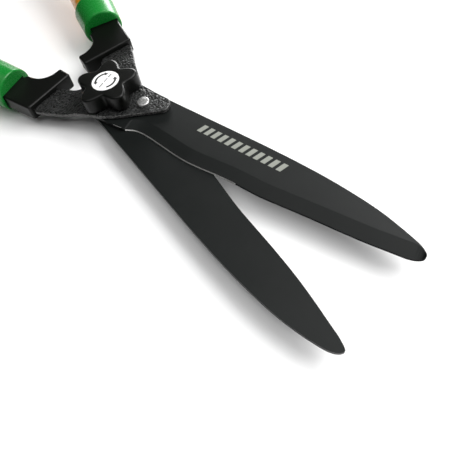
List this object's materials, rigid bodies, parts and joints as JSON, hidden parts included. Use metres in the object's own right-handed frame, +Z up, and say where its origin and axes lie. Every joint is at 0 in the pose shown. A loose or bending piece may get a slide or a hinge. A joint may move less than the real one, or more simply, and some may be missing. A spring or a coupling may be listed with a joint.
{
  "type": "hedge shears",
  "caption": "Two-handed hedge shears: wavy-edged blade over a plain blade, riveted steel brackets, plastic buffers, ferrules and grips, lobed blade-tension knob.",
  "frame": {"origin": "the pivot axis, on the flat underside of the pivot bolt's head", "axes": "+Z up along the pivot axis from the bolt's head to the knob; -Y from the pivot towards the blade tips, +Y towards the handles; +X to the upper blade's side"},
  "size_m": [0.2868, 0.5511, 0.079],
  "materials": {
    "blade_steel": "black non-stick coating",
    "bracket_paint": "black hammered texture",
    "bright_steel": "zinc plated",
    "black_plastic": "moulded, matt",
    "green_plastic": "moulded, glossy",
    "amber_tube": "amber coating",
    "grip_rubber": "soft matt",
    "white_plastic": "printed disc"
  },
  "bodies": {
    "lower_lever": {"lower_blade": "blade_steel", "lower_bracket": "bracket_paint", "lower_rivet": "bright_steel", "lower_buffer": "black_plastic", "lower_ferrule": "green_plastic", "lower_handle": "amber_tube", "lower_grip": "grip_rubber", "lower_end_cap": "green_plastic", "pivot_bolt": "bright_steel"},
    "upper_lever": {"upper_blade": "blade_steel", "upper_bracket": "bracket_paint", "upper_rivet": "bright_steel", "upper_buffer": "black_plastic", "upper_ferrule": "green_plastic", "upper_handle": "amber_tube", "upper_grip": "grip_rubber", "upper_end_cap": "green_plastic", "thrust_washer": "bright_steel"},
    "spring": {"disc_spring": "bright_steel"},
    "knob": {"tension_knob": "black_plastic", "knob_insert": "bright_steel", "knob_label": "white_plastic"}
  },
  "joints": [
    {"name": "lever_pivot", "type": "hinge", "parent": "lower_lever", "child": "upper_lever", "pos_m": [0, 0, 0.00975], "axis": [0, 0, 1], "range_deg": [-15.7, 59.3]},
    {"name": "knob_lift", "type": "slide", "parent": "lower_lever", "child": "spring", "axis": [0, 0, 1], "range_m": [0, 0.00375]},
    {"name": "knob_turn", "type": "hinge", "parent": "spring", "child": "knob", "pos_m": [0, 0, 0.02], "axis": [0, 0, 1], "range_deg": [0, 900]}
  ],
  "couplings": [
    {"joint": "knob_turn", "follows": "knob_lift", "rad_per_m": 4188.8}
  ]
}
